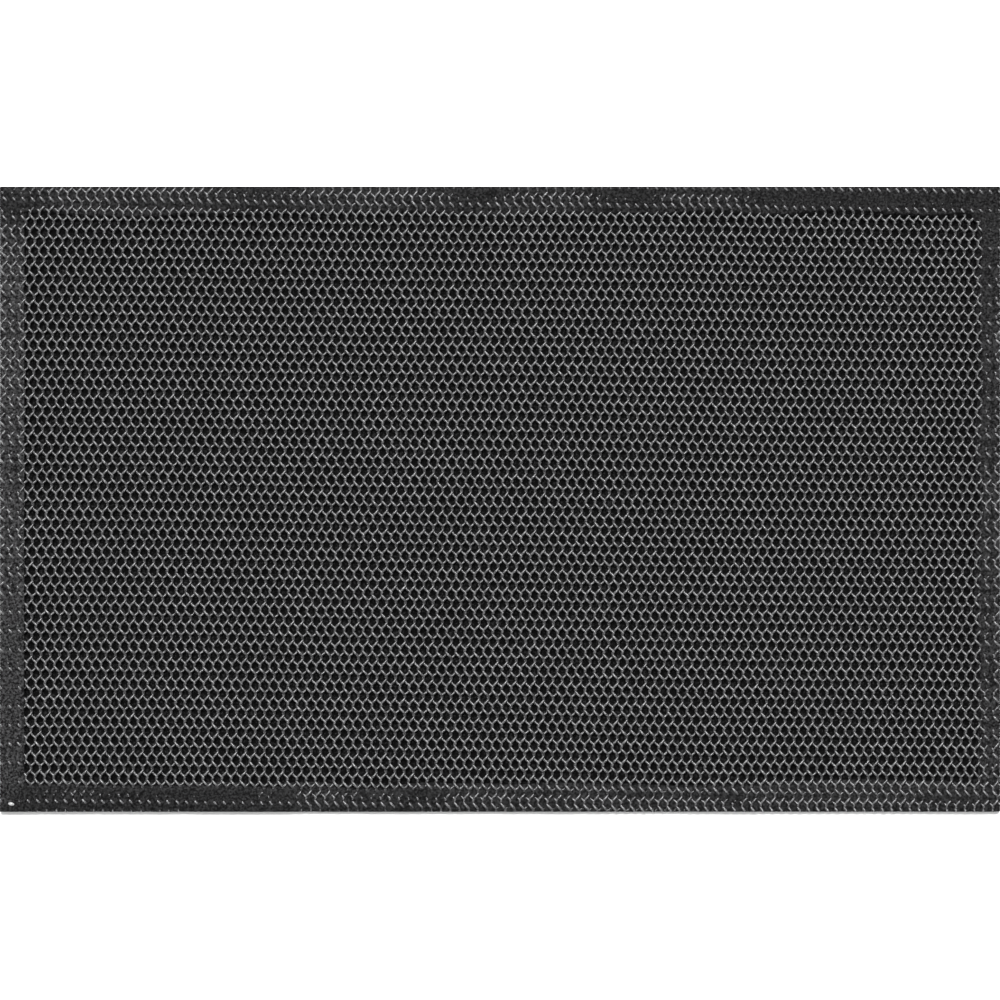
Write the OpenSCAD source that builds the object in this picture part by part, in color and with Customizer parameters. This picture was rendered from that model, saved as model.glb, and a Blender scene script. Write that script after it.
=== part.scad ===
// Scraper door mat of flexible vinyl. Round strands run side by side from the front edge to the back
// edge. The upper strands swing from side to side, lie across the lower strands on either side at
// every crest, where they are welded, and leave a web of open cells. The web is bonded to a backing
// sheet, and four solid edge strips seal its rim.
//
// The origin is the centre of the underside. +X runs along the length, +Y to the back edge, +Z up.

/* [Mat] */
// Length of the mat, along X
mat_l = 800; // [400:10:1200]
// Width of the mat, along Y
mat_w = 500; // [300:10:900]
// Radius of the outer corners
corner_r = 1.5; // [0.5:0.5:8]

/* [Backing sheet] */
// Thickness of the backing sheet
backing_t = 1; // [0.6:0.1:3]

/* [Edge strips] */
// Width of an edge strip
edge_w = 20; // [12:1:40]
// Height of an edge strip above the backing sheet
edge_h = 4.6; // [3:0.1:8]

/* [Web of strands] */
// Height of the web above the backing sheet
web_h = 5; // [3:0.1:8]
// Thickness of one strand, seen from above
strand_t = 2; // [1:0.1:3]
// Spacing of neighbouring strands, fitted to the length of the web
strand_pitch = 3.7; // [3:0.1:6]
// Length of one wave of an upper strand, fitted to the width of the web
wave_l = 15; // [10:0.5:24]
// How far short of the neighbouring strand's own line a crest turns back
crest_short = 0.8; // [0.2:0.1:1]

/* [Hidden] */

// Each layer of the web is laid in banks of neighbouring strands, numbered from the left edge
BANKS = 12;
function bank_name(layer, b) = str(layer, "_strands_", b < 10 ? "0" : "", b);
LOWER_BANKS = [for (b = [1:BANKS]) bank_name("lower", b)];
UPPER_BANKS = [for (b = [1:BANKS]) bank_name("upper", b)];
RIM = ["front_edge_strip", "back_edge_strip", "left_edge_strip", "right_edge_strip"];

CORNER_FN = 48;
CUT = 1; // how far a cutting solid runs past what it cuts

SHEET_COLOUR = [0.09, 0.09, 0.09];
EDGE_COLOUR = [0.16, 0.16, 0.16];
LOWER_COLOUR = [0.2, 0.2, 0.2];
UPPER_COLOUR = [0.27, 0.27, 0.28];

// The web lies in the open field inside the edge strips
web_l = mat_l - 2 * edge_w;
web_w = mat_w - 2 * edge_w;

// Strands fitted to the web: the outermost two are lower ones, and lie against the side strips
gaps = 2 * round((web_l - strand_t) / (2 * strand_pitch));
pitch = (web_l - strand_t) / gaps;
lower_strands = [for (i = [0:2:gaps]) i];
upper_strands = [for (i = [1:2:gaps - 1]) i];
layer_h = web_h / 2; // the upper strands lie on the lower ones

// Waves fitted to the web: each strand starts and ends against an edge strip
half_waves = round(web_w / (wave_l / 2));
half_wave = web_w / half_waves;
swing = pitch - crest_short;
slope = atan(2 * swing / half_wave);
sloping_t = strand_t / cos(slope); // thickness of a sloping strand, measured along X

// Where a strand's own line lies, counting from the left edge strip
function strand_x(i) = -web_l / 2 + strand_t / 2 + i * pitch;

// The strands of one layer that belong to bank b, counting from 1
function bank(layer, b) =
    [for (k = [0:len(layer) - 1]) if (floor(k * BANKS / len(layer)) == b - 1) layer[k]];

// One side of an upper strand, from the front edge strip to the back one
function zigzag(offset) =
    [for (k = [0:half_waves]) [(k % 2 == 0 ? swing : -swing) + offset, k * half_wave - web_w / 2]];
function reversed(points) = [for (k = [len(points) - 1:-1:0]) points[k]];

// The outline of the whole mat, with rounded corners
module mat_outline() {
    corner_x = mat_l / 2 - corner_r;
    corner_y = mat_w / 2 - corner_r;
    square([mat_l, 2 * corner_y], center = true);
    square([2 * corner_x, mat_w], center = true);
    for (sx = [-1, 1], sy = [-1, 1])
        translate([sx * corner_x, sy * corner_y]) circle(r = corner_r, $fn = CORNER_FN);
}

module backing_sheet() {
    color(SHEET_COLOUR) linear_extrude(backing_t) mat_outline();
}

// The front and back strips run the whole length of the mat
module long_edge_strip(side) {
    color(EDGE_COLOUR)
        translate([0, 0, backing_t])
        linear_extrude(edge_h)
        intersection() {
            mat_outline();
            translate([0, side * (mat_w - edge_w + CUT) / 2])
                square([mat_l + 2 * CUT, edge_w + CUT], center = true);
        }
}

// The side strips butt against the front and back strips
module side_edge_strip(side) {
    color(EDGE_COLOUR)
        translate([side * (mat_l - edge_w) / 2, 0, backing_t + edge_h / 2])
        cube([edge_w, web_w, edge_h], center = true);
}

// A lower strand is a plain bar on its own line
module lower_strand(i) {
    translate([strand_x(i), 0, backing_t + layer_h / 2])
        cube([strand_t, web_w, layer_h], center = true);
}

// An upper strand swings across to the lower strands on either side
module upper_strand(i) {
    translate([strand_x(i), 0, backing_t + layer_h])
        linear_extrude(layer_h)
        polygon(concat(zigzag(sloping_t / 2), reversed(zigzag(-sloping_t / 2))));
}

module lower_bank(b) {
    color(LOWER_COLOUR)
        for (i = bank(lower_strands, b)) lower_strand(i);
}

module upper_bank(b) {
    color(UPPER_COLOUR)
        for (i = bank(upper_strands, b)) upper_strand(i);
}

backing_sheet();
long_edge_strip(-1);  // front_edge_strip
long_edge_strip(1);  // back_edge_strip
side_edge_strip(-1);  // left_edge_strip
side_edge_strip(1);  // right_edge_strip
for (b = [1:BANKS]) {
    lower_bank(b);
    upper_bank(b);
}
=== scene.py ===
"""A vinyl web door mat, built around its packed model: strands, edge strips, backing and a plain stage."""

import math

import bmesh
import bpy
from bpy.props import FloatProperty, FloatVectorProperty, IntProperty, PointerProperty
from mathutils import Matrix, Vector, noise


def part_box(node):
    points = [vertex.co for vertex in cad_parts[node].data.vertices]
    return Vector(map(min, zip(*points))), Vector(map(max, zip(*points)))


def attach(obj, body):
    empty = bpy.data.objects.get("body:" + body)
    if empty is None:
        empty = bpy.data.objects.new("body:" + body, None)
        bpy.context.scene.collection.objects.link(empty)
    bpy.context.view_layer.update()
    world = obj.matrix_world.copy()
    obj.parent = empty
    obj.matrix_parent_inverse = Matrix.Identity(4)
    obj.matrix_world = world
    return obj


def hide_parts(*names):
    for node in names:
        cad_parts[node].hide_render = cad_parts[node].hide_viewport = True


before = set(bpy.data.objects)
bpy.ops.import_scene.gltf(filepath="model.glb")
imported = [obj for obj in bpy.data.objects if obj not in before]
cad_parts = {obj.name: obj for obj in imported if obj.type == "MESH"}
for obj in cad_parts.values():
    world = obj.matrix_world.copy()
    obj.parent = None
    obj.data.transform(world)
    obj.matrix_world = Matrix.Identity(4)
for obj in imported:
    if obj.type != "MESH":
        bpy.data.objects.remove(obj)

bl_info = {
    "name": "Vinyl web door mat",
    "version": (1, 0, 0),
    "blender": (4, 5, 0),
    "location": "3D View > Sidebar > Door mat",
    "description": "Builds a scraper mat of welded vinyl strands with a filled rim and a backing sheet",
    "category": "Object",
}

MM = 0.001

# ---------------------------------------------------------------------------------------------
# Places that the frame gives
# ---------------------------------------------------------------------------------------------

SHEET_LOW, SHEET_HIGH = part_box("backing_sheet")
MAT_L = SHEET_HIGH.x - SHEET_LOW.x
MAT_W = SHEET_HIGH.y - SHEET_LOW.y
BACKING_TOP = SHEET_HIGH.z
EDGE_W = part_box("left_edge_strip")[1].x - SHEET_LOW.x
EDGE_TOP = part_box("left_edge_strip")[1].z
INNER_X = MAT_L / 2 - EDGE_W
INNER_Y = MAT_W / 2 - EDGE_W
TREAD_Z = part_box("upper_strands_01")[1].z

LOWER_BANKS = sorted(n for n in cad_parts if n.startswith("lower_strands_"))
UPPER_BANKS = sorted(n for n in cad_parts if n.startswith("upper_strands_"))
OUTER_STRAND_R = 1.0 * MM      # radius of the model's outermost strands, which the web's box reaches round
WEB_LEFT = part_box(LOWER_BANKS[0])[0].x + OUTER_STRAND_R
WEB_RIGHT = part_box(LOWER_BANKS[-1])[1].x - OUTER_STRAND_R


# ---------------------------------------------------------------------------------------------
# Settings
# ---------------------------------------------------------------------------------------------

class WebSettings(bpy.types.PropertyGroup):
    """Sizes of the web of strands."""

    strand_d: FloatProperty(
        name="Strand thickness", description="Diameter of a round strand",
        default=1.92 * MM, unit="LENGTH")
    pitch: FloatProperty(
        name="Strand spacing", description="Distance between neighbouring strands, before fitting",
        default=3.7 * MM, unit="LENGTH")
    wave: FloatProperty(
        name="Wave length", description="Length of one swing to the right and back to the left",
        default=15.04 * MM, unit="LENGTH")
    lower_swing: FloatProperty(
        name="Lower swing", description="How far a lower strand swings to each side",
        default=2.09 * MM, unit="LENGTH")
    lower_hook: FloatProperty(
        name="Lower hook", description="How far the turns of a lower strand are pulled round into hooks",
        default=0.55 * MM, unit="LENGTH")
    upper_swing: FloatProperty(
        name="Upper swing", description="How far an upper strand swings to each side",
        default=2.48 * MM, unit="LENGTH")
    lower_rise: FloatProperty(
        name="Lower rise", description="How far a lower strand rises and dips where it crosses others",
        default=0.85 * MM, unit="LENGTH")
    upper_rise: FloatProperty(
        name="Upper rise", description="How far an upper strand rises and dips where it crosses others",
        default=0.81 * MM, unit="LENGTH")
    lower_lift: FloatProperty(
        name="Lower lift", description="Half the height between a lower strand's high and low crests",
        default=0.55 * MM, min=0, unit="LENGTH")
    upper_lift: FloatProperty(
        name="Upper lift", description="Half the height between an upper strand's high and low crests",
        default=0.3 * MM, min=0, unit="LENGTH")
    bond: FloatProperty(
        name="Let-down",
        description="How far the lower strands are let down towards the backing from their full reach above it",
        default=0.05 * MM, unit="LENGTH")
    row_slant: FloatProperty(
        name="Row slant", description="How far a row of cells drops to the right, as a share of its length",
        default=0.0129)
    column_lean: FloatProperty(
        name="Column lean", description="How far the strands lean to the right, as a share of their length",
        default=0.0068)
    offset: FloatProperty(
        name="Offset", description="How far the whole pattern is set to the right",
        default=0.15 * MM, unit="LENGTH")
    drift: FloatProperty(
        name="Drift", description="How far the pattern wanders across the mat",
        default=1.3 * MM, unit="LENGTH")
    wobble: FloatProperty(
        name="Wobble", description="Unevenness of a single strand",
        default=0.22 * MM, unit="LENGTH")
    rings: IntProperty(
        name="Rings", description="Rings of points along one wave", default=12, min=6)


class RimSettings(bpy.types.PropertyGroup):
    """Sizes of the filled rim."""

    grid: FloatProperty(
        name="Grid", description="Size of one face on top of an edge strip",
        default=0.65 * MM, unit="LENGTH")
    front: FloatVectorProperty(
        name="Front corners", description="Filling level at the front left and front right corners",
        size=2, default=(5.8 * MM, 5.15 * MM), unit="LENGTH")
    back: FloatVectorProperty(
        name="Back corners", description="Filling level at the back left and back right corners",
        size=2, default=(5.25 * MM, 5.75 * MM), unit="LENGTH")
    sag: FloatProperty(
        name="Sag", description="How much lower the filling is halfway between two corners",
        default=0.35 * MM, unit="LENGTH")
    crown: FloatProperty(
        name="Crown", description="How much higher the middle of a strip is than its sides",
        default=0.3 * MM, unit="LENGTH")
    uneven: FloatProperty(
        name="Unevenness", description="How far the filling level wanders along a strip",
        default=0.42 * MM, unit="LENGTH")
    dip: FloatProperty(
        name="Cell dip", description="How far the filling sinks in the middle of a cell",
        default=0.5 * MM, unit="LENGTH")
    cling: FloatProperty(
        name="Cling", description="How far from a strand the filling clings to it",
        default=1.2 * MM, unit="LENGTH")
    thin: FloatProperty(
        name="Thin", description="Level below which the filling follows the strands down",
        default=5.35 * MM, unit="LENGTH")
    bare: FloatProperty(
        name="Bare", description="How far a strand stands out of thin filling",
        default=0.3 * MM, unit="LENGTH")
    groove: FloatProperty(
        name="Groove", description="How far thin filling can follow a strand down",
        default=1.4 * MM, unit="LENGTH")
    fade: FloatProperty(
        name="Fade", description="Width over which the filling runs out between the strands",
        default=5.0 * MM, unit="LENGTH")
    ragged: FloatProperty(
        name="Raggedness", description="How far the inner edge of the filling wanders to each side",
        default=2.0 * MM, unit="LENGTH")
    shoulder: FloatProperty(
        name="Shoulder", description="How far in from an edge its rounding starts",
        default=0.9 * MM, unit="LENGTH")
    corner: FloatProperty(
        name="Corner radius", description="Radius of the mat's outer corners",
        default=1.5 * MM, unit="LENGTH")
    front_spread: FloatProperty(
        name="Front spread", description="How far the front filling gets into the web past its own width",
        default=1.5 * MM, unit="LENGTH")
    back_spread: FloatProperty(
        name="Back spread", description="How far the back filling gets into the web past its own width",
        default=2.8 * MM, unit="LENGTH")
    right_spread: FloatProperty(
        name="Right spread",
        description="How far the right filling gets into the web past its own width, or stops short below 0",
        default=-3.8 * MM, unit="LENGTH")


class FinishSettings(bpy.types.PropertyGroup):
    """Colours of the vinyl and the dust on it, with painted light on the strand tops and painted shade on the
    bed.
    """

    strand: FloatVectorProperty(
        name="Strands", description="Colour of the strands", subtype="COLOR",
        default=(0.0145, 0.0145, 0.015), min=0, max=1)
    # Painted light: this pale grey on the strands' high tops is partly scuff wear and partly painted light. The
    # rim's dust specks and the bed's crumbs use it too.
    worn_and_lit_grey: FloatVectorProperty(
        name="Worn tops", description="Colour of the scuffed tops of the strands", subtype="COLOR",
        default=(0.1, 0.1, 0.102), min=0, max=1)
    rim: FloatVectorProperty(
        name="Rim", description="Colour of the filled rim", subtype="COLOR",
        default=(0.0014, 0.0014, 0.00145), min=0, max=1)
    backing: FloatVectorProperty(
        name="Backing", description="Colour of the underside of the backing sheet", subtype="COLOR",
        default=(0.012, 0.012, 0.012), min=0, max=1)
    # Painted shade: the top of the backing under the web is painted near black, standing in for the shade in
    # the deep cells.
    shaded_bed: FloatVectorProperty(
        name="Bed", description="Colour of the backing sheet under the web", subtype="COLOR",
        default=(0.0008, 0.0008, 0.0008), min=0, max=1)
    dab: FloatVectorProperty(
        name="Dab", description="Colour of the shiny dab of filler", subtype="COLOR",
        default=(0.26, 0.26, 0.26), min=0, max=1)
    # The left side of the rim is made lighter than the other strips with more pale specks.
    left_lightening: FloatProperty(
        name="Left dust", description="How much more dust lies on the left side of the rim than elsewhere",
        default=0.2, min=0, max=1)


class StageSettings(bpy.types.PropertyGroup):
    """Floor, lights and camera."""

    floor: FloatVectorProperty(
        name="Floor", description="Colour of the floor", subtype="COLOR",
        default=(0.9, 0.9, 0.9), min=0, max=1)
    key: FloatProperty(name="Key light", description="Strength of the key light", default=11.25)
    ambient: FloatProperty(name="Ambient", description="Strength of the light from all round", default=0.075)
    lens: FloatProperty(name="Lens", description="Focal length in millimetres", default=200.0)


# ---------------------------------------------------------------------------------------------
# The pattern of the web
# ---------------------------------------------------------------------------------------------

# Shares of a wave, counted down the mat from its centre
LOWER_TURN = 0.112     # where a lower strand is furthest right
LOWER_HOOK = -0.008    # where its hooks pull right, three times in a wave
UPPER_TURN = 0.088     # where an upper strand is furthest left
LOWER_TOP = 0.01       # where a lower strand has its high crest, half a wave from its low one
UPPER_TOP = 0.348      # where an upper strand has its high crest, half a wave from its low one

# How fast smooth noise changes over the mat, per metre
DRIFT_SCALE = 4.0      # the wandering of the pattern
UNEVEN_SCALE = 90.0    # the unevenness of a strand along it
PATCH_SCALE = 16.0     # high and low stretches of the filling
RIPPLE_SCALE = 50.0    # smaller swells within those stretches
SKIN_SCALE = 420.0     # the orange-peel skin of the filling
RAGGED_SCALE = 22.0    # the ragged inner edge of the filling

STRAND_STEP = 5.3      # distance in the noise from one strand to the next


def smooth_noise(x, y, scale, seed):
    """Smooth noise at a place on the mat, from about -1 to 1. Each seed gives a pattern of its own."""
    return noise.noise(Vector((x * scale, y * scale, seed)))


class Web:
    """The lines of the strands, fitted to the frame."""

    def __init__(self, settings):
        self.s = settings
        span = WEB_RIGHT - WEB_LEFT
        self.gaps = 2 * round(span / (2 * settings.pitch))
        self.pitch = span / self.gaps
        self.radius = settings.strand_d / 2
        # A strand never dips by its whole rise and lift at once, so the lower ones stay clear of the backing
        lower_reach = self.radius + settings.lower_rise + settings.lower_lift
        upper_reach = self.radius + settings.upper_rise + settings.upper_lift
        self.lower_z = BACKING_TOP - settings.bond + lower_reach
        self.upper_z = TREAD_Z - upper_reach

    def line(self, i):
        """Where strand i's own line crosses the middle of the mat."""
        return WEB_LEFT + i * self.pitch

    def phase(self, x, y):
        """How many waves down the pattern a place is."""
        wander = smooth_noise(x, y, DRIFT_SCALE, seed=3.7)
        return (-y - self.s.row_slant * x + self.s.drift * wander) / self.s.wave

    def shift(self, x, y):
        """How far to the right the pattern lies at a place."""
        wander = smooth_noise(x, y, DRIFT_SCALE, seed=8.2)
        return self.s.offset + self.s.column_lean * y + self.s.drift * wander

    def place(self, i, y):
        """The middle of strand i at y, as (x, z)."""
        x = self.line(i)
        waves = self.phase(x, y)
        if i % 2 == 0:
            swing = self.s.lower_swing * math.cos(math.tau * (waves - LOWER_TURN))
            swing += self.s.lower_hook * math.cos(3 * math.tau * (waves - LOWER_HOOK))
            middle, rise, lift, top = self.lower_z, self.s.lower_rise, self.s.lower_lift, LOWER_TOP
        else:
            swing = -self.s.upper_swing * math.cos(math.tau * (waves - UPPER_TURN))
            middle, rise, lift, top = self.upper_z, self.s.upper_rise, self.s.upper_lift, UPPER_TOP
        from_top = math.tau * (waves - top)
        z = middle + rise * math.cos(2 * from_top) + lift * math.cos(from_top)
        return x + self.shift(x, y) + swing, z

    def uneven(self, i, y):
        """Unevenness of strand i at y: sideways, upwards and in thickness, each from -1 to 1."""
        along = (i * STRAND_STEP, y * UNEVEN_SCALE)
        return [noise.noise(Vector((*along, seed))) for seed in (0.0, 11.0, 23.0)]


# ---------------------------------------------------------------------------------------------
# Materials
# ---------------------------------------------------------------------------------------------

def new_material(name):
    """An empty node material with its shader: (material, node tree, shader, object coordinates)."""
    material = bpy.data.materials.new(name)
    material.use_nodes = True
    tree = material.node_tree
    tree.nodes.clear()
    output = tree.nodes.new("ShaderNodeOutputMaterial")
    shader = tree.nodes.new("ShaderNodeBsdfPrincipled")
    coords = tree.nodes.new("ShaderNodeTexCoord")
    tree.links.new(shader.outputs["BSDF"], output.inputs["Surface"])
    return material, tree, shader, coords.outputs["Object"]


def noise_node(tree, coords, scale, detail=3.0, roughness=0.55):
    """Noise whose scale is in features per metre."""
    node = tree.nodes.new("ShaderNodeTexNoise")
    node.inputs["Scale"].default_value = scale
    node.inputs["Detail"].default_value = detail
    node.inputs["Roughness"].default_value = roughness
    tree.links.new(coords, node.inputs["Vector"])
    return node.outputs["Fac"]


def map_range(tree, value, from_low, from_high, to_low=0.0, to_high=1.0):
    """A value moved from one range to another and held within it."""
    node = tree.nodes.new("ShaderNodeMapRange")
    node.inputs["From Min"].default_value = from_low
    node.inputs["From Max"].default_value = from_high
    node.inputs["To Min"].default_value = to_low
    node.inputs["To Max"].default_value = to_high
    tree.links.new(value, node.inputs["Value"])
    return node.outputs["Result"]


def combine(tree, operation, a, b):
    """Two values put together by a Math node's operation."""
    node = tree.nodes.new("ShaderNodeMath")
    node.operation = operation
    tree.links.new(a, node.inputs[0])
    tree.links.new(b, node.inputs[1])
    return node.outputs["Value"]


def separate(tree, coords):
    """The coordinates of a place as three values."""
    node = tree.nodes.new("ShaderNodeSeparateXYZ")
    tree.links.new(coords, node.inputs["Vector"])
    return node.outputs["X"], node.outputs["Y"], node.outputs["Z"]


def mix_colours(tree, factor, a, b):
    """A mix of two colours, each a socket or a plain colour."""
    node = tree.nodes.new("ShaderNodeMix")
    node.data_type = "RGBA"
    tree.links.new(factor, node.inputs["Factor"])
    for socket, value in ((node.inputs["A"], a), (node.inputs["B"], b)):
        if isinstance(value, bpy.types.NodeSocket):
            tree.links.new(value, socket)
        else:
            socket.default_value = (*value, 1.0)
    return node.outputs["Result"]


def bump_node(tree, height, distance, strength=1.0, below=None):
    """Bumps from a height, laid over the bumps below if there are any."""
    node = tree.nodes.new("ShaderNodeBump")
    node.inputs["Distance"].default_value = distance
    node.inputs["Strength"].default_value = strength
    tree.links.new(height, node.inputs["Height"])
    if below is not None:
        tree.links.new(below, node.inputs["Normal"])
    return node.outputs["Normal"]


def height_above(tree, coords, low, high):
    """A value that goes from 0 at height low to 1 at height high."""
    return map_range(tree, separate(tree, coords)[2], low, high)


def strand_vinyl(finish):
    """Semi-gloss black vinyl with a fine grain, greyer in blotches, and paler on its high tops, partly scuff
    wear and partly painted light that makes the high parts brighter than the low ones.
    """
    material, tree, shader, coords = new_material("strand vinyl")
    # Painted light: the high parts are painted paler, partly as scuff wear and partly as painted light, so the
    # high crests read brighter than the low ones in shade. The speck noise also stands in for glinting
    # highlights.
    top = height_above(tree, coords, TREAD_Z - 1.9 * MM, TREAD_Z - 0.1 * MM)
    scuff_and_glint_specks = map_range(tree, noise_node(tree, coords, 900.0, roughness=0.7), 0.46, 0.6)
    worn = combine(tree, "MULTIPLY", top, scuff_and_glint_specks)
    blotches = map_range(tree, noise_node(tree, coords, 420.0), 0.35, 0.65, 0.0, 0.4)
    dull = mix_colours(tree, blotches, finish.strand, finish.worn_and_lit_grey)
    tree.links.new(mix_colours(tree, worn, dull, finish.worn_and_lit_grey), shader.inputs["Base Color"])
    roughness = map_range(tree, noise_node(tree, coords, 350.0), 0.25, 0.75, 0.18, 0.34)
    tree.links.new(roughness, shader.inputs["Roughness"])
    shader.inputs["Specular IOR Level"].default_value = 0.36
    ripple = bump_node(tree, noise_node(tree, coords, 700.0, detail=2.0), 0.25 * MM)
    grain = bump_node(tree, noise_node(tree, coords, 2600.0, detail=2.0), 0.03 * MM, 0.8, ripple)
    tree.links.new(grain, shader.inputs["Normal"])
    return material


ZONE_SIDE = 2 * MM                # width over which the lighter left zone runs out on its inner side
ZONE_BACK = (50 * MM, 10 * MM)    # distances from the back strip between which it runs out


def left_side_zone(tree, coords):
    """1 on the left side of the mat, as far as the mitre at its front corner, and 0 elsewhere."""
    x, y, _ = separate(tree, coords)
    on_left = map_range(tree, x, -INNER_X, ZONE_SIDE - INNER_X, 1.0, 0.0)
    clear_of_back = map_range(tree, y, INNER_Y - ZONE_BACK[0], INNER_Y - ZONE_BACK[1], 1.0, 0.0)
    from_front = map_range(tree, y, SHEET_LOW.y, SHEET_LOW.y + 2 * EDGE_W)
    minus_from_left = map_range(tree, x, SHEET_LOW.x + 2 * EDGE_W, SHEET_LOW.x, -1.0, 0.0)
    past_mitre = map_range(tree, combine(tree, "ADD", from_front, minus_from_left), -0.04, 0.16)
    side = combine(tree, "MULTIPLY", on_left, clear_of_back)
    return combine(tree, "MULTIPLY", side, past_mitre)


def rim_vinyl(finish, name, dust):
    """Satin black vinyl filling with an orange-peel skin and a share of pale dust specks, with more pale specks
    on the left side, which makes that side lighter.
    """
    material, tree, shader, coords = new_material(name)
    patches = map_range(tree, noise_node(tree, coords, 35.0, detail=5.0), 0.35, 0.7)
    worn = mix_colours(tree, patches, finish.rim, [c * 1.5 for c in finish.rim])
    specks = map_range(tree, noise_node(tree, coords, 520.0, roughness=0.7), 0.42, 0.76)
    # More pale specks on the left side make it lighter than the other strips.
    share = map_range(tree, left_side_zone(tree, coords), 0.0, 1.0, dust, dust + finish.left_lightening)
    speckled = mix_colours(tree, combine(tree, "MULTIPLY", specks, share), worn, finish.worn_and_lit_grey)
    tree.links.new(speckled, shader.inputs["Base Color"])
    roughness = map_range(tree, noise_node(tree, coords, 220.0), 0.25, 0.75, 0.55, 0.75)
    tree.links.new(roughness, shader.inputs["Roughness"])
    shader.inputs["Specular IOR Level"].default_value = 0.032
    peel = bump_node(tree, noise_node(tree, coords, 700.0), 0.35 * MM)
    grain = bump_node(tree, noise_node(tree, coords, 2600.0, detail=2.0), 0.04 * MM, 0.8, peel)
    tree.links.new(grain, shader.inputs["Normal"])
    return material


def backing_vinyl(finish):
    """Matt black vinyl sheet with a fine pebble grain, where a few pale crumbs lie; its top is painted darker
    and less shiny, as painted shade in the cells under the web.
    """
    material, tree, shader, coords = new_material("backing vinyl")
    cells = tree.nodes.new("ShaderNodeTexVoronoi")
    cells.inputs["Scale"].default_value = 900.0
    tree.links.new(coords, cells.inputs["Vector"])
    patches = map_range(tree, noise_node(tree, coords, 25.0, detail=5.0), 0.3, 0.7)
    under = mix_colours(tree, patches, finish.backing, [c * 1.6 for c in finish.backing])
    # Painted shade: the top of the sheet, under the web, is painted darker and less shiny than the underside,
    # standing in for the shade in the cells.
    top = height_above(tree, coords, 0.3 * BACKING_TOP, BACKING_TOP)
    crumbs = map_range(tree, noise_node(tree, coords, 550.0, roughness=0.7), 0.52, 0.72, 0.0, 0.16)
    shaded_bed = mix_colours(tree, crumbs, finish.shaded_bed, finish.worn_and_lit_grey)
    tree.links.new(mix_colours(tree, top, under, shaded_bed), shader.inputs["Base Color"])
    tree.links.new(map_range(tree, top, 0.0, 1.0, 0.3, 0.032), shader.inputs["Specular IOR Level"])
    roughness = map_range(tree, noise_node(tree, coords, 150.0), 0.25, 0.75, 0.55, 0.75)
    tree.links.new(roughness, shader.inputs["Roughness"])
    pebbles = bump_node(tree, cells.outputs["Distance"], 0.12 * MM, 0.8)
    tree.links.new(pebbles, shader.inputs["Normal"])
    return material


def dab_vinyl(finish):
    """Pale, shiny cured filler."""
    material, tree, shader, coords = new_material("dab vinyl")
    clouds = map_range(tree, noise_node(tree, coords, 900.0), 0.3, 0.7)
    cloudy = mix_colours(tree, clouds, finish.dab, [c * 0.6 for c in finish.dab])
    tree.links.new(cloudy, shader.inputs["Base Color"])
    shader.inputs["Roughness"].default_value = 0.22
    shader.inputs["Specular IOR Level"].default_value = 0.2
    tree.links.new(bump_node(tree, noise_node(tree, coords, 900.0), 0.1 * MM), shader.inputs["Normal"])
    return material


def floor_paint(colour):
    """Plain matt paint, very slightly clouded."""
    material, tree, shader, coords = new_material("floor paint")
    shade = map_range(tree, noise_node(tree, coords, 3.0), 0.3, 0.7, 0.0, 0.15)
    clouded = mix_colours(tree, shade, colour, [c * 0.97 for c in colour])
    tree.links.new(clouded, shader.inputs["Base Color"])
    shader.inputs["Roughness"].default_value = 0.8
    return material


# ---------------------------------------------------------------------------------------------
# Pieces
# ---------------------------------------------------------------------------------------------

def add_piece(name, mesh, material, nodes):
    """Puts a finished mesh in the scene as a piece that stands for some nodes."""
    mesh.materials.clear()
    mesh.materials.append(material)
    piece = bpy.data.objects.new(name, mesh)
    bpy.context.scene.collection.objects.link(piece)
    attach(piece, "root")
    if nodes:
        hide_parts(*nodes)
    return piece


SHARP = math.radians(50)          # edges that turn further than this stay crisp
SHEET_SHARP = math.radians(20)    # the same on the backing sheet, so that its big faces are shaded flat


def bmesh_to_mesh(bm, name, sharp_angle):
    """A finished mesh with outward faces, smooth apart from edges sharper than an angle."""
    bmesh.ops.recalc_face_normals(bm, faces=bm.faces)
    mesh = bpy.data.meshes.new(name)
    bm.to_mesh(mesh)
    bm.free()
    mesh.shade_smooth()
    mesh.set_sharp_from_angle(angle=sharp_angle)
    return mesh


THICKNESS_SPREAD = 0.18    # how much thicker or thinner a strand gets, as a share


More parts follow.
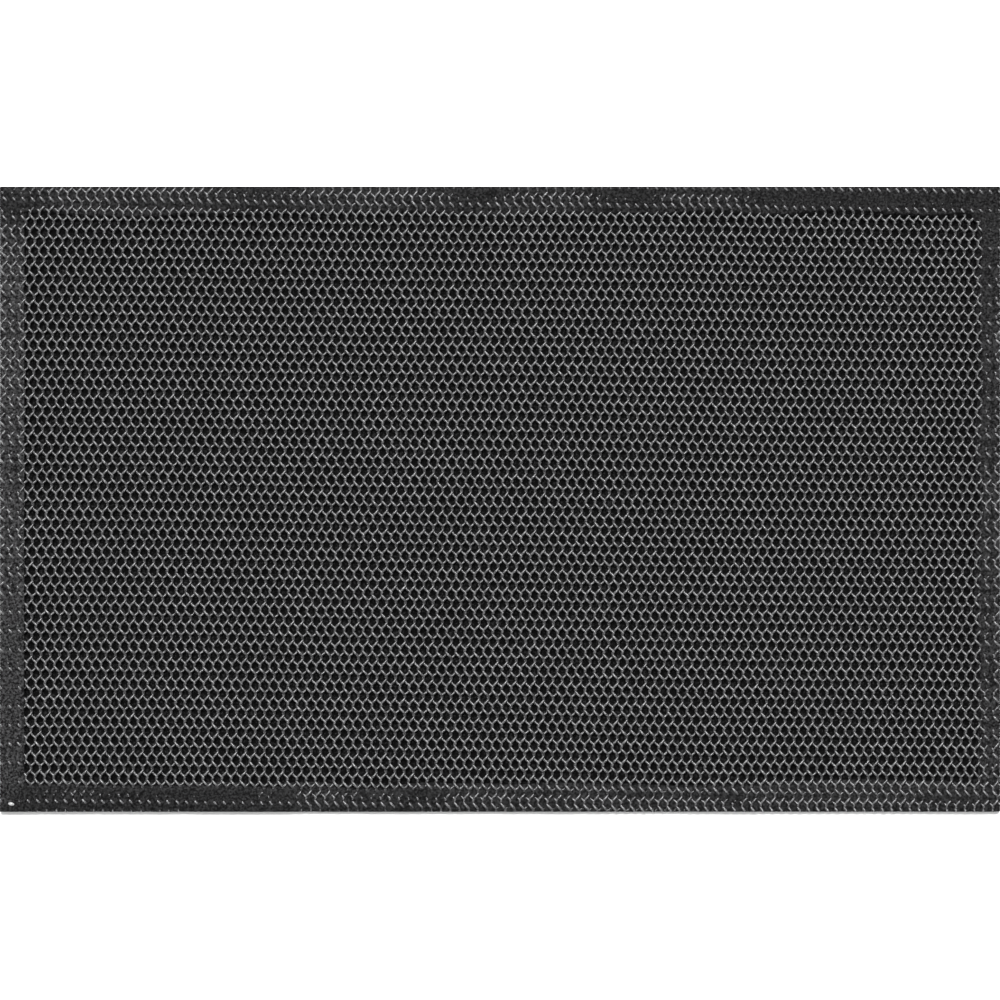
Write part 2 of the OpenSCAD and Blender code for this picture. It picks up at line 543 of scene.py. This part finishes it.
def strands_mesh(name, web, strands, cuts=()):
    """Round strands as one mesh, cut off square at the mat's ends and at the planes in cuts."""
    curve = bpy.data.curves.new(name, "CURVE")
    curve.dimensions = "3D"
    curve.twist_mode = "Z_UP"
    curve.bevel_depth = web.radius
    curve.bevel_resolution = 2
    curve.use_fill_caps = True
    wobble = web.s.wobble
    steps = round(MAT_W / web.s.wave * web.s.rings)
    last_turn = MAT_W / 2 - MAT_W / steps    # past this y a strand runs straight, so that its end is square
    for i in strands:
        spline = curve.splines.new("POLY")
        spline.points.add(steps)
        for k, point in enumerate(spline.points):
            y = SHEET_LOW.y + MAT_W * k / steps
            at = max(-last_turn, min(last_turn, y))
            x, z = web.place(i, at)
            sideways, upwards, thickness = web.uneven(i, at)
            point.co = (x + wobble * sideways, y, z + wobble / 2 * upwards, 1.0)
            point.radius = 1.0 + THICKNESS_SPREAD * thickness
    holder = bpy.data.objects.new(name, curve)
    mesh = bpy.data.meshes.new_from_object(holder)
    bpy.data.objects.remove(holder)
    bpy.data.curves.remove(curve)
    bm = bmesh.new()
    bm.from_mesh(mesh)
    bpy.data.meshes.remove(mesh)
    bmesh.ops.remove_doubles(bm, verts=bm.verts, dist=0.001 * MM)
    for point, normal in cuts:
        whole = bm.verts[:] + bm.edges[:] + bm.faces[:]
        cut = bmesh.ops.bisect_plane(bm, geom=whole, plane_co=point, plane_no=normal, clear_outer=True)
        rims = [e for e in cut["geom_cut"] if isinstance(e, bmesh.types.BMEdge)]
        bmesh.ops.holes_fill(bm, edges=rims, sides=0)
    return bmesh_to_mesh(bm, name, SHARP)


def shared_strand_vinyl(scene):
    """The strands' one material, made the first time that a piece asks for it."""
    return bpy.data.materials.get("strand vinyl") or strand_vinyl(scene.doormat_finish)


def add_layer(scene, first, banks):
    """Adds every second strand of the web, counted from the first, as one piece for each bank."""
    web = Web(scene.doormat_web)
    layer = range(first, web.gaps + 1, 2)
    for b, node in enumerate(banks):
        members = [i for k, i in enumerate(layer) if k * len(banks) // len(layer) == b]
        mesh = strands_mesh(node, web, members)
        add_piece(node + "_web", mesh, shared_strand_vinyl(scene), [node])


class DOORMAT_OT_lower_strands(bpy.types.Operator):
    """Builds the lower strands of the web, one piece for each bank"""

    bl_idname = "doormat.lower_strands"
    bl_label = "Lower strands"

    def execute(self, context):
        add_layer(context.scene, 0, LOWER_BANKS)
        return {"FINISHED"}


class DOORMAT_OT_upper_strands(bpy.types.Operator):
    """Builds the upper strands of the web, one piece for each bank"""

    bl_idname = "doormat.upper_strands"
    bl_label = "Upper strands"

    def execute(self, context):
        add_layer(context.scene, 1, UPPER_BANKS)
        return {"FINISHED"}


class DOORMAT_OT_rim_strands(bpy.types.Operator):
    """Builds the strands that are buried in the left and right strips, cut off at the mat's sides"""

    bl_idname = "doormat.rim_strands"
    bl_label = "Rim strands"

    def execute(self, context):
        web = Web(context.scene.doormat_web)
        material = shared_strand_vinyl(context.scene)
        buried = math.ceil(EDGE_W / web.pitch)
        sides = (
            ("left_rim_strands", range(-buried, 0), SHEET_LOW.x, -1),
            ("right_rim_strands", range(web.gaps + 1, web.gaps + 1 + buried), SHEET_HIGH.x, 1),
        )
        for name, members, edge_x, outwards in sides:
            mesh = strands_mesh(name, web, members, [((edge_x, 0, 0), (outwards, 0, 0))])
            add_piece(name, mesh, material, [])
        return {"FINISHED"}


def fill_level(rim, x, y):
    """The level of the filling before any detail, blended from its levels at the corners."""
    right, back = 0.5 + x / MAT_L, 0.5 + y / MAT_W
    front_level = rim.front[0] * (1 - right) + rim.front[1] * right
    back_level = rim.back[0] * (1 - right) + rim.back[1] * right
    between = max(4 * right * (1 - right), 4 * back * (1 - back))
    return front_level * (1 - back) + back_level * back - rim.sag * between


SKIN_HEIGHT = 0.06 * MM    # height of the orange-peel skin
THINNING = 0.5 * MM        # how far below the thin level the filling follows the strands fully


def fill_height(web, rim, x, y, level):
    """The surface of the filling: it wanders about its level, sinks between the strands, and where it
    lies thin it also follows the strands down."""
    nearest = round((x - web.shift(x, y) - web.line(0)) / web.pitch)
    places = [web.place(i, y) for i in range(nearest - 1, nearest + 2)]
    gap, strand_top = min((abs(x - at), z + web.radius) for at, z in places)
    cling = math.exp(-((gap / rim.cling) ** 2))
    patch = smooth_noise(x, y, PATCH_SCALE, seed=1.3) + 0.5 * smooth_noise(x, y, RIPPLE_SCALE, seed=5.1)
    skin = smooth_noise(x, y, SKIN_SCALE, seed=2.2)
    dip = rim.dip * max(0.3, 1.0 - 2.0 * patch)
    z = level + rim.uneven * patch - dip * (1 - cling) + SKIN_HEIGHT * skin
    thin = min(max((rim.thin - z) / THINNING, 0.0), 1.0)
    bare = max(min(z, strand_top - rim.bare), z - rim.groove)
    return z + thin * cling * (bare - z)


def rounded_drop(inside, shoulder, drop):
    """How far a surface drops at a distance inside its edge, along a quarter circle."""
    if inside >= shoulder:
        return 0.0
    across = 1 - max(inside, 0.0) / shoulder
    return drop * (1 - math.sqrt(1 - across * across))


def faded_drop(inside, fade, drop):
    """How far a surface drops at a distance inside its edge, along a gentle S."""
    if inside >= fade:
        return 0.0
    across = 1 - max(inside, 0.0) / fade
    return drop * across * across * (3 - 2 * across)


def round_corner(x, y, corner):
    """Moves a point of a square outer corner onto its arc."""
    dx = abs(x) - (MAT_L / 2 - corner)
    dy = abs(y) - (MAT_W / 2 - corner)
    if dx <= 0 or dy <= 0:
        return x, y
    share = max(dx, dy) / math.hypot(dx, dy)
    return (
        math.copysign(MAT_L / 2 - corner + dx * share, x),
        math.copysign(MAT_W / 2 - corner + dy * share, y),
    )


CUT_BACK = 0.02 * MM       # how far the filling stands behind the cut ends of the strands
OUTER_DROP = 0.5 * MM      # how far the filling rounds down at the mat's outer edge
INNER_DROP = 0.3 * MM      # how far it rounds down at a wall on its inner side
SIDE_STEP = 0.15 * MM      # how much higher a side strip lies than the strip that it meets
SIDE_GAP = 0.4 * MM        # how far the left strip's inner wall stands back from the strip's edge
RUN_OUT = 0.1 * MM         # how far below the top of the backing a run-out filling ends
WALL_FOOT = 0.3 * MM       # how far below it the walls of a strip reach


def strip_mesh(name, web, rim, low, high, spread, mitred):
    """An edge strip: a crowned filling over the buried strands, closed down to the backing.

    A strip without a spread ends in a wall on its inner side. The others run out between the
    strands, and spread is how far beyond the strip's own width they get.
    The crown of a mitred strip turns the corner, that of the others runs straight through."""
    nx = max(2, round((high[0] - low[0]) / rim.grid))
    ny = max(2, round((high[1] - low[1]) / rim.grid))
    centre = Matrix.Translation(((low[0] + high[0]) / 2, (low[1] + high[1]) / 2, 0))
    size = Matrix.Diagonal(((high[0] - low[0]) / 2, (high[1] - low[1]) / 2, 1, 1))
    bm = bmesh.new()
    bmesh.ops.create_grid(bm, x_segments=nx, y_segments=ny, size=1.0, matrix=centre @ size)
    upright = high[1] - low[1] > high[0] - low[0]
    lowest = BACKING_TOP - RUN_OUT
    for v in bm.verts:
        x, y = round_corner(v.co.x, v.co.y, rim.corner)
        to_side, to_end = MAT_L / 2 - abs(x), MAT_W / 2 - abs(y)
        outer = min(to_side, to_end)
        along = outer if mitred(x, y) else (to_side if upright else to_end)
        inner = EDGE_W - outer
        across = min(along / EDGE_W, 1.0)
        crown = rim.crown * (4 * across * (1 - across) - 1)
        z = fill_height(web, rim, x, y, fill_level(rim, x, y) + crown)
        z -= rounded_drop(outer, rim.shoulder, OUTER_DROP)
        if upright and not mitred(x, y):
            z += SIDE_STEP - rounded_drop(abs(abs(y) - INNER_Y), rim.shoulder, OUTER_DROP)
        if spread is None:
            z -= rounded_drop(inner, rim.shoulder, INNER_DROP)
        else:
            wander = 2 * rim.ragged * smooth_noise(x, y, RAGGED_SCALE, seed=9.4)
            z -= faded_drop(inner + spread + rim.fade / 2 + wander, rim.fade, z - lowest)
        v.co = (x, y, max(z, lowest))
    border = [e for e in bm.edges if e.is_boundary]
    walls = bmesh.ops.extrude_edge_only(bm, edges=border)
    for v in [g for g in walls["geom"] if isinstance(g, bmesh.types.BMVert)]:
        v.co.z = BACKING_TOP - WALL_FOOT
    bmesh.ops.holes_fill(bm, edges=[e for e in bm.edges if e.is_boundary], sides=0)
    return bmesh_to_mesh(bm, name, SHARP)


class DOORMAT_OT_edge_strips(bpy.types.Operator):
    """Builds the four filled edge strips"""

    bl_idname = "doormat.edge_strips"
    bl_label = "Edge strips"

    def execute(self, context):
        web = Web(context.scene.doormat_web)
        rim = context.scene.doormat_rim
        finish = context.scene.doormat_finish
        x = MAT_L / 2 - CUT_BACK
        y = MAT_W / 2 - CUT_BACK
        front, back, right = rim.front_spread, rim.back_spread, rim.right_spread
        reach = rim.fade / 2 + rim.ragged
        # side, low and high corners, spread, share of dust, and where the crown is mitred
        strips = (
            ("front", (-x, -y), (x, front + reach - INNER_Y), front, 0.22, lambda x, y: True),
            ("back", (-x, INNER_Y - back - reach), (x, y), back, 0.22, lambda x, y: x < 0),
            ("left", (-x, -INNER_Y), (-INNER_X - SIDE_GAP, INNER_Y), None, 0.26, lambda x, y: True),
            ("right", (INNER_X - right - reach, -INNER_Y), (x, INNER_Y), right, 0.28, lambda x, y: y < 0),
        )
        for side, low, high, spread, dust, mitred in strips:
            node = side + "_edge_strip"
            mesh = strip_mesh(node, web, rim, low, high, spread, mitred)
            material = rim_vinyl(finish, side + " rim vinyl", dust)
            add_piece(node + "_filling", mesh, material, [node])
        return {"FINISHED"}


DAB_PLACE = (9.4 * MM, 6.3 * MM)           # from the front left corner
DAB_SIZE = (2.5 * MM, 1.4 * MM, 0.8 * MM)  # its half length, half width and half height
DAB_TURN = math.radians(-12)
DAB_SUNK = 0.05 * MM                       # how far its middle lies below the filling's level


class DOORMAT_OT_filler_dab(bpy.types.Operator):
    """Builds the shiny dab of filler near the front left corner"""

    bl_idname = "doormat.filler_dab"
    bl_label = "Filler dab"

    def execute(self, context):
        rim = context.scene.doormat_rim
        x, y = SHEET_LOW.x + DAB_PLACE[0], SHEET_LOW.y + DAB_PLACE[1]
        shape = Matrix.Rotation(DAB_TURN, 4, "Z") @ Matrix.Diagonal((*DAB_SIZE, 1))
        place = Matrix.Translation((x, y, fill_level(rim, x, y) - DAB_SUNK))
        bm = bmesh.new()
        bmesh.ops.create_uvsphere(bm, u_segments=24, v_segments=12, radius=1.0, matrix=place @ shape)
        mesh = bmesh_to_mesh(bm, "filler_dab", SHARP)
        add_piece("filler_dab", mesh, dab_vinyl(context.scene.doormat_finish), [])
        return {"FINISHED"}


SHEET_BEVEL = 0.15 * MM    # rounding of the backing sheet's top and bottom edges


def edge_rise(edge):
    """How much higher one end of an edge is than the other."""
    return abs(edge.verts[0].co.z - edge.verts[1].co.z)


class DOORMAT_OT_backing_sheet(bpy.types.Operator):
    """Builds the backing sheet"""

    bl_idname = "doormat.backing_sheet"
    bl_label = "Backing sheet"

    def execute(self, context):
        rim = context.scene.doormat_rim
        centre = Matrix.Translation((SHEET_LOW + SHEET_HIGH) / 2)
        size = Matrix.Diagonal((*(SHEET_HIGH - SHEET_LOW), 1))
        bm = bmesh.new()
        bmesh.ops.create_cube(bm, size=1.0, matrix=centre @ size)
        upright = [e for e in bm.edges if edge_rise(e) > 0.5 * BACKING_TOP]
        bmesh.ops.bevel(
            bm, geom=upright, offset=rim.corner, affect="EDGES", segments=6, profile=0.5, material=-1)
        level = [e for e in bm.edges if edge_rise(e) < 0.01 * MM]
        bmesh.ops.bevel(
            bm, geom=level, offset=SHEET_BEVEL, affect="EDGES", segments=2, profile=0.5, material=-1)
        mesh = bmesh_to_mesh(bm, "backing_sheet", SHEET_SHARP)
        material = backing_vinyl(context.scene.doormat_finish)
        sheet = add_piece("backing_sheet_vinyl", mesh, material, ["backing_sheet"])
        return {"FINISHED"}


# ---------------------------------------------------------------------------------------------
# Stage
# ---------------------------------------------------------------------------------------------

FLOOR_SIZE = 6.0          # half the floor's side
FLOOR_GAP = 0.2 * MM      # how far the floor lies below the mat
FILL_SHARE = 0.16         # strength of the fill light, as a share of the key light's
SUN_DISTANCE = 2.0

VIEW_Y = -0.7 * MM             # where the camera is, seen from the middle of the mat
VIEW_Z = EDGE_TOP - 1.0 * MM   # height at which the view is VIEW_L long
VIEW_L = MAT_L - 0.6 * MM


def add_sun(name, azimuth, elevation, strength, angle):
    """A soft distant light: azimuth is counted from the right edge towards the back, in degrees."""
    light = bpy.data.lights.new(name, "SUN")
    light.energy = strength
    light.angle = math.radians(angle)
    holder = bpy.data.objects.new(name, light)
    a, e = math.radians(azimuth), math.radians(elevation)
    towards = Vector((math.cos(a) * math.cos(e), math.sin(a) * math.cos(e), math.sin(e)))
    holder.rotation_mode = "QUATERNION"
    holder.rotation_quaternion = towards.to_track_quat("Z", "Y")
    holder.location = towards * SUN_DISTANCE
    bpy.context.scene.collection.objects.link(holder)


class DOORMAT_OT_stage(bpy.types.Operator):
    """Builds the pale floor, the soft lights and the camera straight above"""

    bl_idname = "doormat.stage"
    bl_label = "Stage"

    def execute(self, context):
        scene = context.scene
        stage = scene.doormat_stage
        bm = bmesh.new()
        level = Matrix.Translation((0, 0, SHEET_LOW.z - FLOOR_GAP))
        bmesh.ops.create_grid(bm, x_segments=1, y_segments=1, size=FLOOR_SIZE, matrix=level)
        mesh = bpy.data.meshes.new("floor")
        bm.to_mesh(mesh)
        bm.free()
        mesh.materials.append(floor_paint(stage.floor))
        floor = bpy.data.objects.new("floor", mesh)
        scene.collection.objects.link(floor)

        add_sun("key light", azimuth=93.0, elevation=48.0, strength=stage.key, angle=45.0)
        add_sun("fill light", azimuth=221.0, elevation=50.0, strength=stage.key * FILL_SHARE, angle=40.0)
        world = bpy.data.worlds.new("studio")
        world.use_nodes = True
        background = world.node_tree.nodes["Background"]
        background.inputs["Color"].default_value = (1, 1, 1, 1)
        background.inputs["Strength"].default_value = stage.ambient
        scene.world = world
        scene.view_settings.view_transform = "Standard"

        lens = bpy.data.cameras.new("camera")
        lens.lens = stage.lens
        lens.sensor_width = 36.0
        camera = bpy.data.objects.new("camera", lens)
        camera.location = (0, VIEW_Y, VIEW_Z + VIEW_L * stage.lens / lens.sensor_width)
        scene.collection.objects.link(camera)
        scene.camera = camera
        return {"FINISHED"}


# ---------------------------------------------------------------------------------------------
# Panel and registration
# ---------------------------------------------------------------------------------------------

PIECES = (
    DOORMAT_OT_stage,
    DOORMAT_OT_backing_sheet,
    DOORMAT_OT_lower_strands,
    DOORMAT_OT_upper_strands,
    DOORMAT_OT_rim_strands,
    DOORMAT_OT_edge_strips,
    DOORMAT_OT_filler_dab,
)
SETTINGS = (
    ("doormat_web", WebSettings),
    ("doormat_rim", RimSettings),
    ("doormat_finish", FinishSettings),
    ("doormat_stage", StageSettings),
)


class DOORMAT_PT_panel(bpy.types.Panel):
    """Lists the mat's settings and the operators that build its pieces"""

    bl_idname = "DOORMAT_PT_panel"
    bl_label = "Door mat"
    bl_space_type = "VIEW_3D"
    bl_region_type = "UI"
    bl_category = "Door mat"

    def draw(self, context):
        for name, group in SETTINGS:
            box = self.layout.box()
            box.label(text=group.__doc__)
            for setting in group.__annotations__:
                box.prop(getattr(context.scene, name), setting)
        for operator in PIECES:
            self.layout.operator(operator.bl_idname)


def register():
    for name, group in SETTINGS:
        bpy.utils.register_class(group)
        setattr(bpy.types.Scene, name, PointerProperty(type=group))
    for operator in PIECES:
        bpy.utils.register_class(operator)
    bpy.utils.register_class(DOORMAT_PT_panel)


def unregister():
    bpy.utils.unregister_class(DOORMAT_PT_panel)
    for operator in reversed(PIECES):
        bpy.utils.unregister_class(operator)
    for name, group in reversed(SETTINGS):
        delattr(bpy.types.Scene, name)
        bpy.utils.unregister_class(group)


def main():
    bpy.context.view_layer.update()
    register()
    bpy.ops.doormat.stage()
    bpy.ops.doormat.backing_sheet()
    bpy.ops.doormat.lower_strands()
    bpy.ops.doormat.upper_strands()
    bpy.ops.doormat.rim_strands()
    bpy.ops.doormat.edge_strips()
    bpy.ops.doormat.filler_dab()


if __name__ == "__main__":
    main()
